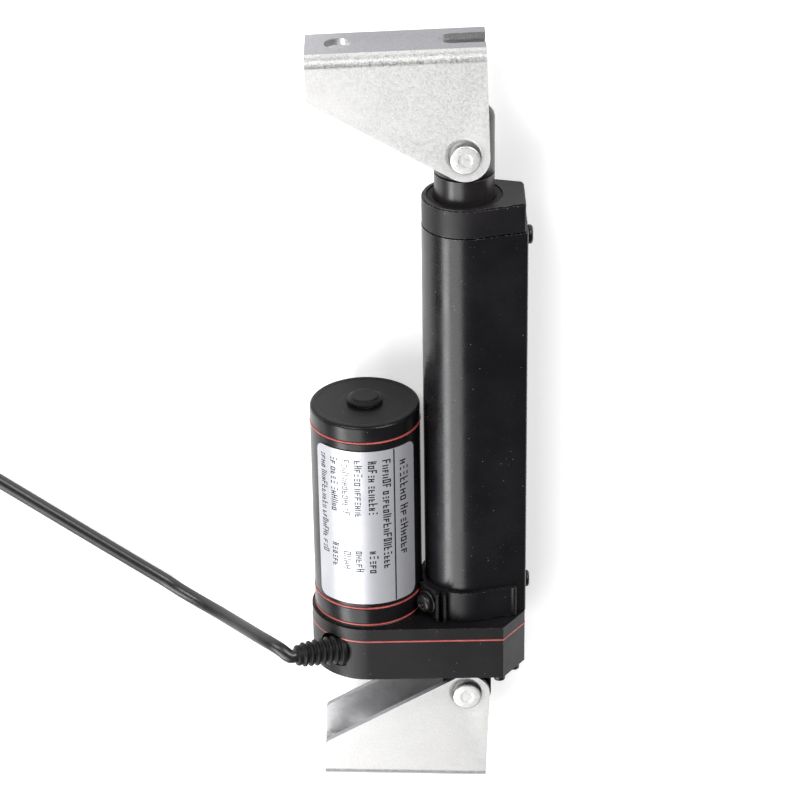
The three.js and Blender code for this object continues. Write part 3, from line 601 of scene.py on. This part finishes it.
# ---------------------------------------------------------------- motor
def ring_piece(name, ro, ri, y0, y1, e, mat, node, seg=128, x=MX):
    pr = [(ri, y0), (ro - e, y0), (ro - 0.3 * e, y0 + 0.3 * e), (ro, y0 + e), (ro, y1 - e), (ro - 0.3 * e, y1 - 0.3 * e), (ro - e, y1), (ri, y1)]
    return finish(turned(pr, (x, 0, 0), seg=seg), name, mat, "housing", [node], dissolve=False, sharp=50)
ring_piece("motor_gasket_lower_ring", 18.95, 9, 33.55, 34.0, 0.14, M_red, "motor_gasket_lower")
ring_piece("motor_gasket_middle_ring", 18.95, 15, 40.15, 40.6, 0.14, M_red, "motor_gasket_middle")
ring_piece("motor_gasket_upper_ring", 18.9, 15, 105.0, 105.45, 0.14, M_red, "motor_gasket_upper")
o = turned([(5.8, 34.15), (18.5, 34.15), (18.75, 34.25), (18.85, 34.5), (18.85, 39.65), (18.75, 39.9), (18.5, 40.0), (5.8, 40.0)], (MX, 0, 0), seg=128)
finish(o, "motor_adapter_band", M_motor, "housing", ["motor_adapter_ring"], dissolve=False)
o = turned([(17.2, 40.75), (18.4, 40.75), (18.62, 40.85), (18.7, 41.1), (18.7, 104.5), (18.62, 104.76), (18.4, 104.85), (17.2, 104.85)], (MX, 0, 0), seg=128)
finish(o, "motor_shell_tube", M_motor, "housing", ["motor_shell"], dissolve=False)
# end cap: rolled rim, a flat face with a faint turned step round the bearing seat
cap = [(5.8, 105.6), (18.35, 105.6), (18.6, 105.7), (18.7, 105.95), (18.7, 110.1)] + [(17.6 + 1.1 * math.cos(rad(a)), 110.3 + 1.1 * math.sin(rad(a))) for a in range(6, 91, 12)]
cap += [(16.6, 111.4), (16.4, 111.32), (15.9, 111.3), (8.6, 111.3), (8.3, 111.36), (8.0, 111.4), (4.3, 111.4), (4.3, 108.6), (5.8, 108.6)]
o = finish(turned(cap, (MX, 0, 0), seg=128), "motor_end_cap_disc", M_endcap, "housing", ["motor_end_cap"], dissolve=False)
# the rolled side of the cap is glossier than its flat end
o.data.materials.append(M_motor)
for p in o.data.polygons:
    if abs(p.normal.y) < 0.6: p.material_index = 1
plug = [(0, 109.6), (3.95, 109.6), (3.95, 111.7), (5.95, 111.7), (6.1, 111.85), (6.1, 112.7), (5.9, 112.95), (5.2, 113.1), (4.9, 113.25), (4.75, 113.7), (4.5, 113.88), (3.9, 113.9), (2.4, 113.86), (0, 113.84)]
finish(turned(plug, (MX, 0, 0), seg=72), "motor_end_plug_cap", M_plug, "housing", ["motor_end_plug"], dissolve=False)

# ---------------------------------------------------------------- name plate
LR = 19.0
def wrap(o, r_base):
    """bends a flat sheet (x = way round, z = height off the shell) round the motor"""
    for v in o.data.vertices:
        s, y, t = v.co.x * 1000 - SX, v.co.y * 1000 - SY, v.co.z * 1000 - SZ
        a = math.pi / 2 - s / LR
        r = r_base + t
        v.co = W((MX + r * math.cos(a), y, r * math.sin(a)))
    o.data.update()
def slice_x(o, x0, x1, n):
    bm = bmesh.new(); bm.from_mesh(o.data)
    for i in range(1, n):
        x = x0 + (x1 - x0) * i / n
        bmesh.ops.bisect_plane(bm, geom=bm.verts[:] + bm.edges[:] + bm.faces[:], plane_co=W((x, 0, 0)), plane_no=(1, 0, 0))
    bm.to_mesh(o.data); bm.free()
S0, S1 = -math.radians(58) * LR, math.radians(58) * LR
def round_rect(x0, x1, y0, y1, r, n=8):
    return arc(x1 - r, y1 - r, r, 0, 90, n) + arc(x0 + r, y1 - r, r, 90, 180, n) + arc(x0 + r, y0 + r, r, 180, 270, n) + arc(x1 - r, y0 + r, r, 270, 360, n)
o = prism(round_rect(S0, S1, 42.4, 102.2, 3.0), 0, 0.15, "Z")
slice_x(o, S0, S1, 44)
wrap(o, 18.95)
finish(o, "name_plate_foil", M_foil, "housing", ["name_plate"], dissolve=False, sharp=50, weighted=False)

# its print: greeked columns, read downwards with their tops to the right, and a rule beside the bold one
bars, bars2 = [], []
def glyph(store, s, h, y, w, t):
    """one made-up mark of a few strokes, t thick"""
    kind = rnd.randrange(6)
    tall = h if rnd.random() < 0.3 else h * 0.72
    if kind != 4: store.append((s, s + tall, y - t, y))
    if kind in (0, 1, 5): store.append((s, s + tall * 0.92, y - w, y - w + t))
    if kind in (0, 2, 4): store.append((s + tall - t, s + tall, y - w, y - t * 0.8))
    if kind in (1, 2, 3, 4): store.append((s + tall * 0.42, s + tall * 0.42 + t, y - w * 0.9, y - t * 0.8))
    if kind in (3, 4, 0): store.append((s, s + t, y - w, y - t * 0.8))
def column(store, s, h, w, t, y, words):
    for n in words:
        if n < 0:
            y += n
            continue
        for _ in range(n):
            g = w * rnd.uniform(0.8, 1.12)
            glyph(store, s, h, y, g, t)
            y -= g + 0.36 * w
        y -= 0.62 * w
column(bars, 12.3, 3.5, 1.85, 0.52, 96.8, (7, 8))
column(bars, 5.7, 3.0, 1.38, 0.46, 98.6, (6, 17))
column(bars, 0.8, 3.0, 1.30, 0.44, 98.6, (5, 7)); column(bars, 0.8, 3.0, 1.36, 0.44, 63.5, (5,))
column(bars, -3.9, 2.8, 1.22, 0.30, 98.8, (6, 7)); column(bars, -3.9, 2.8, 1.30, 0.30, 63.5, (5,))
column(bars2, -8.3, 2.7, 1.22, 0.28, 98.8, (4, 9)); column(bars2, -8.3, 2.7, 1.30, 0.28, 63.0, (4,))
column(bars, -12.6, 2.7, 1.24, 0.36, 99.0, (2, 4, 6)); column(bars, -12.6, 2.7, 1.26, 0.36, 65.5, (6,))
column(bars, -17.0, 2.7, 1.18, 0.34, 99.4, (4, 10, 7, 3))
bars.append((9.75, 10.25, 42.6, 102.0))
def print_piece(name, store, mat):
    v, f = [], []
    for x0, x1, y0, y1 in store:
        n = 3
        b = len(v)
        for i in range(n + 1):
            x = x0 + (x1 - x0) * i / n
            v += [(x, y0, 0), (x, y1, 0), (x, y0, 0.02), (x, y1, 0.02)]
        for i in range(n):
            p, q = b + 4 * i, b + 4 * (i + 1)
            f += [(p + 2, q + 2, q + 3, p + 3), (p, p + 1, q + 1, q), (p, q, q + 2, p + 2), (p + 1, p + 3, q + 3, q + 1)]
        f += [(b, b + 2, b + 3, b + 1), (b + 4 * n, b + 4 * n + 1, b + 4 * n + 3, b + 4 * n + 2)]
    o = mesh_obj(name, v, f)
    wrap(o, 19.105)
    return finish(o, name, mat, "housing", dissolve=False, sharp=40, weighted=False)
print_piece("name_plate_print", bars, M_ink)
print_piece("name_plate_print_small", bars2, M_ink_grey)

# ---------------------------------------------------------------- outer tube and front cap
o = prism(tube_outline(), 32.7, 177.2)
cut(o, cyl(11.6, 0, 200, seg=72))
cut(o, block(6, 18.5, 0, 200, -6.2, 6.2))
for y in (40.2, 172.6): cut(o, cyl(1.8, 0, 10, (15, y, 0), (1, 0, 0), 24))
finish(o, "outer_tube_shell", M_tube, "housing", ["outer_tube"], bevel=0.25, seg=3)

o = prism(tube_outline(-0.1, 19.9), 177.6, 186.9)
add(o, prism(tube_outline(-0.5, 19.9), 186.0, 187.5))
cut(o, cyl(10.4, 170, 200, seg=72)); cut(o, cyl(12.6, 184.3, 200, seg=72))
finish(o, "front_cap_block", M_cap, "housing", ["front_cap"], bevel=0.35, seg=4)

seal = [(10.05, 184.6), (12.5, 184.6), (12.5, 187.0), (12.4, 187.15), (12.2, 187.2), (10.9, 187.2), (10.6, 187.1), (10.3, 186.95), (10.1, 186.9), (10.05, 186.7)]
finish(turned(seal, seg=96), "rod_wiper_lip", M_seal, "housing", ["rod_wiper_seal"], dissolve=False)

# ---------------------------------------------------------------- rod
o = turned([(5.5, 58.3), (9.5, 58.3), (9.9, 58.7), (9.9, 195.45), (9.75, 195.62), (9.5, 195.7), (0, 195.7), (0, 190), (5.5, 190)], seg=96)
finish(o, "rod_tube_barrel", M_rod, "rod", ["rod_tube"], dissolve=False)
o = turned([(0, 196), (9.5, 196), (9.75, 196.08), (9.9, 196.3)] + [(9.9 - 3 + 3 * math.cos(rad(a)), 217.5 - 3 + 3 * math.sin(rad(a))) for a in range(0, 91, 9)] + [(0, 217.5)], seg=96)
cut(o, cyl(4.3, -20, 20, (0, 205, 0), (0, 0, 1), 48))
finish(o, "rod_end_plug", M_rod, "rod", ["rod_end"], bevel=0.35, seg=3, angle=40)

# ---------------------------------------------------------------- strap clamp
Y0, Y1 = 32.9, 43.9
ring_out, ring_in = tube_outline(1.7, n=96), tube_outline(0.2, n=96)
o = prism(ring_out, Y0, Y1)
cut(o, prism(ring_in, 20, 60))
cut(o, block(16.8, 40, 20, 60, -30, 30))
add(o, prism([(-10.9, 11.6), (-9.7, 11.6), (-9.7, 16.2), (-10.0, 16.6), (-10.6, 16.6), (-10.9, 16.2)], Y0, Y1))
add(o, prism([(-8.3, 13.4), (-7.1, 13.4), (-7.1, 16.2), (-7.4, 16.6), (-8.0, 16.6), (-8.3, 16.2)], Y0, Y1))
tt = tube_outline(1.0)
p_, q_ = tt[0], tt[-1]
for sgn in (1, -1):
    k = (16.8 - p_[0]) / (q_[0] - p_[0])
    zz = p_[1] + (q_[1] - p_[1]) * k + 0.35
    add(o, cyl(1.05, Y0, Y1, (16.2, 0, sgn * zz), seg=36))
EAR = 140
ec, es = math.cos(rad(EAR)), math.sin(rad(EAR))
sy = (Y0 + Y1) / 2
def ear_pt(u, h): return (ec * h - es * u, es * h + ec * u)      # u across, h out along the ear's direction
add(o, prism([ear_pt(-4.4, 14.9), ear_pt(4.4, 14.9), ear_pt(4.4, 17.2), ear_pt(-4.4, 17.2)], Y0, Y1))
cut(o, cyl(1.8, 10, 24, (0, sy, 0), (ec, 0, es), 32))
cut(o, prism(ring_in, 20, 60))
cut(o, cyl(4.45, 17.2, 24, (0, sy, 0), (ec, 0, es), 48))
cut(o, cyl(19.12, 20, 60, (MX, 0, 0), seg=96))
finish(o, "tube_strap_band", M_paint, "housing", ["tube_strap"], bevel=0.22, seg=3)

o = turned([(1.8, 17.5), (3.9, 17.5), (4.1, 17.65), (4.1, 18.15), (3.95, 18.3), (1.8, 18.3)], (0, sy, 0), (ec, 0, es), 64)
finish(o, "strap_screw_washer", M_bsteel, "housing", ["strap_washer"], dissolve=False)

def cross_recess(at, d, top, depth, w=0.62, l=2.0, turn=20):
    """a Phillips recess as a tapered cross, with its point along -d"""
    d = Vector(d).normalized()
    x = d.orthogonal().normalized(); y = d.cross(x)
    c, s = math.cos(rad(turn)), math.sin(rad(turn))
    x, y = x * c + y * s, y * c - x * s
    out = None
    for a, b in ((x, y), (y, x)):
        P = []
        for h, kl, kw in ((top + 0.3, 1.08, 1.15), (top - depth, 0.42, 0.55)):
            o_ = Vector(at) + d * h
            P += [o_ + a * l * kl + b * w * kw, o_ - a * l * kl + b * w * kw, o_ - a * l * kl - b * w * kw, o_ + a * l * kl - b * w * kw]
        m_ = mesh_obj("x", P, [(0, 1, 2, 3), (7, 6, 5, 4), (0, 4, 5, 1), (1, 5, 6, 2), (2, 6, 7, 3), (3, 7, 4, 0)])
        out = m_ if out is None else add(out, m_)
    return out

def pan_head(r, base, h, n=10):
    """profile points of a pan head from its rim up and in to the axis"""
    pts = [(r - 0.12, base), (r, base + 0.14), (r, base + 0.34 * h)]
    for i in range(1, n + 1):
        a = rad(90 * i / n)
        pts.append((r * (0.62 + 0.38 * math.cos(a)), base + h * (0.34 + 0.62 * math.sin(a))))
    return pts + [(r * 0.3, base + h * 0.99), (0, base + h)]
def screw(name, at, d, stem_r, stem0, base, r, h, node, turn=20, rec=1.0):
    pr = [(0, stem0), (stem_r, stem0), (stem_r, base)] + pan_head(r, base, h)
    o = turned(pr, at, d, 72)
    cut(o, cross_recess(at, d, base + h, 1.1 * rec, 0.34 * rec, 1.75 * rec, turn))
    return finish(o, name, M_bsteel, "housing", [node], bevel=0.07, seg=2, angle=35, sharp=35)
screw("strap_screw_head", (0, sy, 0), (ec, 0, es), 1.45, 14.8, 18.6, 3.3, 2.1, "strap_screw", 8, 1.15)
screw("tube_screw_upper_head", (0, 172.6, 0), (1, 0, 0), 1.4, 18.6, 20.85, 3.2, 1.7, "tube_screw_upper", 30, 1.0)
screw("tube_screw_lower_head", (0, 40.2, 0), (1, 0, 0), 1.4, 18.6, 20.85, 2.9, 1.4, "tube_screw_lower", 60, 0.95)
for i, (x, z) in enumerate(COVER):
    at = (x, 0, z)
    o = turned([(0, -30), (1.25, -30), (1.25, -11.7), (2.1, -11.7), (2.1, -10.1), (2.0, -9.8), (1.75, -9.63), (0, -9.6)], at, (0, -1, 0), 48)
    # hexagon socket
    hx = prism([(x + 1.05 * math.cos(rad(60 * k + 11 * i)), z + 1.05 * math.sin(rad(60 * k + 11 * i))) for k in range(6)], 9.0, 10.8)
    cut(o, hx)
    finish(o, "case_screw_%d_head" % (i + 1), M_bsteel, "housing", ["case_screw_%d" % (i + 1)], bevel=0.06, seg=2, angle=35, sharp=35)

# ---------------------------------------------------------------- strain relief
pr = [(0, -0.6), (5.6, -0.6), (5.8, -0.4), (5.8, 0.75), (5.6, 1.1), (5.2, 1.25), (4.6, 1.3), (4.45, 1.45), (4.4, 1.9)]
for i in range(6):
    s, r = 2.2 + i * 2.2, 5.1 - i * 0.16
    if i: pr += [(r - 0.93, s - 0.75), (r - 0.96, s - 0.35)]
    pr += [(r - 0.55, s - 0.05), (r - 0.15, s + 0.08), (r, s + 0.3), (r, s + 0.72), (r - 0.15, s + 0.95), (r - 0.55, s + 1.08)]
pr += [(3.5, 14.9), (3.62, 15.35), (3.68, 15.6), (3.6, 16.2), (3.35, 16.5), (2.95, 16.6), (2.55, 16.6), (0, 16.55)]
o = turned(pr, tuple(R_AT), tuple(R_DIR), 64)
finish(o, "strain_relief_boot", M_rubber, "housing", ["strain_relief"], dissolve=False, sharp=75)

# ---------------------------------------------------------------- hinge brackets and pins
H, W2, T, RO, BL, LOBE, SIDE = 36.3, 12.6, 2.2, 4.1, 49.6, 8.0, 21.2
def place(o, s, turn):
    """a shape built with its pin on the rod axis at y 0 goes to its own pin and stands at its angle"""
    c = W((0, 0, 0)); to = W((0, 205, 0)) if s > 0 else c
    o.data.transform(Matrix.Translation(to) @ Matrix.Rotation(rad(turn), 4, "Z") @ Matrix.Translation(-c))
def bracket(s):
    w, t, ro = W2, T, RO
    ri = ro - t
    pf = [(-14, -w)] + [(H - ro + (a - (H - ro)), b) for a, b in arc(H - ro, -(w - ro), ro, -90, 0, 12)] + arc(H - ro, w - ro, ro, 0, 90, 12)
    pf += [(-14, w), (-14, w - t)] + arc(H - ro, w - ro, ri, 90, 0, 8) + arc(H - ro, -(w - ro), ri, 0, -90, 8) + [(-14, -(w - t))]
    o = prism([(s * a, b) for a, b in pf], -BL - 5, LOBE + 5, "X")
    slope = math.atan2(SIDE, BL) + math.asin(LOBE / math.hypot(BL, SIDE))
    a0 = 270 - math.degrees(slope)
    side = arc(-BL + 2.4, H + 1 - 0.01, 0.01, 90, 90.1, 1)[:1]
    side = [(-BL, H + 1), (-BL, SIDE + 0.9), (-BL + 0.25, SIDE + 0.25)] + [(-BL + 0.9, SIDE - 0.55)] + arc(0, 0, LOBE, a0, 360, 56) + [(LOBE, H + 1)]
    clip = prism([(a, s * c) for a, c in side], -20, 20, "Z")
    boolean(o, clip, "INTERSECT")
    cut(o, cyl(4.3, -20, 20, (0, 0, 0), (0, 0, 1), 56))
    y0, y1 = (H - 6, H + 4) if s > 0 else (-H - 4, -H + 6)
    slot = prism(arc(-39.1, 0.25, 4.2, 0, 180, 28) + arc(-39.1, -0.25, 4.2, 180, 360, 28), y0, y1)
    cut(o, slot)
    openslot = prism(arc(-2.4, 0, 4.4, 90, 270, 28) + [(20, -4.4), (20, 4.4)], y0, y1)
    cut(o, openslot)
    # a shallow dish pressed beside each pin hole
    for z in (1, -1):
        dish = [(0, -0.55)] + [(4.0 + 2.0 * q / 12, -0.55 * (0.5 + 0.5 * math.cos(math.pi * q / 12))) for q in range(12)] + [(6.0, 0.0), (6.0, 0.5), (0, 0.5)]
        cut(o, turned(dish if z > 0 else [(r, -h) for r, h in dish[::-1]], (-0.5, 1.3, z * W2), (0, 0, 1), 64))
    return o
def grain_and_shade_faces(o, s, py, turn):
    """the bends and the walls of the slots carry a coarser, more sparkling plating; the outside of the base and the
    insides get darker copies of the zinc as painted shade, and the cut edges share the base's copy
    """
    o.data.materials.append(M_zinc_grain); o.data.materials.append(M_zinc_base_painted_shade); o.data.materials.append(M_zinc_inner_painted_shade)
    back = Matrix.Rotation(rad(-turn), 3, "Z")
    pin = W((0, py, 0))
    for p in o.data.polygons:
        n = back @ p.normal; c = (back @ (p.center - pin)) * 1000
        x, y, z = c.x, c.y * s, c.z
        if y > H - RO - 0.6 and 0.08 < abs(n.z) < 0.992 and abs(n.x) < 0.6 and abs(z) > W2 - RO - 0.3: p.material_index = 1
        elif y > H - T - 0.5 and abs(n.y) < 0.5 and -48 < x and abs(z) < 6: p.material_index = 1
        # painted shade: the outside of the base, and below it the cut edges, get the much darker copy of the zinc
        elif y > H - 1.6 and n.y * s > 0.5: p.material_index = 2
        elif abs(n.z) < 0.1 and y < H - RO: p.material_index = 2
        # painted shade: the insides of the plates get the darker copy of the zinc
        elif abs(z) < W2 - T + 0.5 and y < H - 0.5: p.material_index = 3
PINPR = [(0, -15.0), (3.8, -15.0), (4.4, -14.9), (4.65, -14.6), (4.75, -14.2), (4.75, -13.05), (4.6, -12.9), (4, -12.9), (4, 12.9), (4.6, 12.9), (4.8, 13.05),
         (4.85, 13.75), (4.78, 14.0), (4.6, 14.12), (4.35, 14.16), (2.45, 14.2), (2.3, 14.165), (2.15, 14.15), (1.2, 14.155), (0, 14.165)]
for s, turn, body, name in ((1, FRONT_TURN, "front_hinge_bracket", "front"), (-1, REAR_TURN, "rear_hinge_bracket", "rear")):
    o = bracket(s)
    place(o, s, turn)
    # the rear bracket's sheet takes the darker copy of the zinc, painted shade
    o = finish(o, name + "_bracket_sheet", M_zinc if s > 0 else M_zinc_rear_painted_shade, body, [name + "_bracket"], bevel=0.22, seg=3, angle=30)
    grain_and_shade_faces(o, s, 205 if s > 0 else 0, turn)
    p = turned(PINPR, (0, 0, 0), (0, 0, 1), 72)
    place(p, s, turn)
    finish(p, name + "_pin_rivet", M_pin, body, [name + "_pin"], dissolve=False, sharp=50)

# ---------------------------------------------------------------- what is inside keeps its CAD shape
inner = {"motor_magnet_a": M_ferrite, "motor_magnet_b": M_ferrite, "motor_bearing_front": M_steel, "motor_bearing_rear": M_steel, "motor_brush_plate": M_nylon,
         "idler_axle": M_steel, "screw_bearing": M_steel, "rod_bush": M_nylon, "switch_board": M_board, "limit_switch_rear": M_switch, "limit_switch_front": M_switch,
         "motor_shaft": M_steel, "motor_armature": M_windings, "motor_commutator": M_commut, "motor_pinion": M_brass, "idler_gear": M_nylon,
         "lead_screw": M_steel, "output_gear": M_nylon, "drive_nut": M_brass}
for n, mt in inner.items():
    ob = bpy.data.objects[n]
    for sl in ob.material_slots: sl.material = mt
    if not ob.material_slots: ob.data.materials.append(mt)

# ---------------------------------------------------------------- lights
mid = (0.0, 0.0, 0.02)
# the long side of each soft light runs along y, so its highlight is even from end to end
area("key", (-0.84, -0.56, 0.68), mid, 0.34, 14.0, 1.1)
area("key_soft", (-0.42, -0.58, 0.98), mid, 0.60, 8.0, 0.9)
area("fill_a", (0.95, 1.25, 1.00), mid, 0.9, 25, 0.7)
area("fill_b", (-0.80, 1.35, 1.00), mid, 0.9, 23, 0.7)
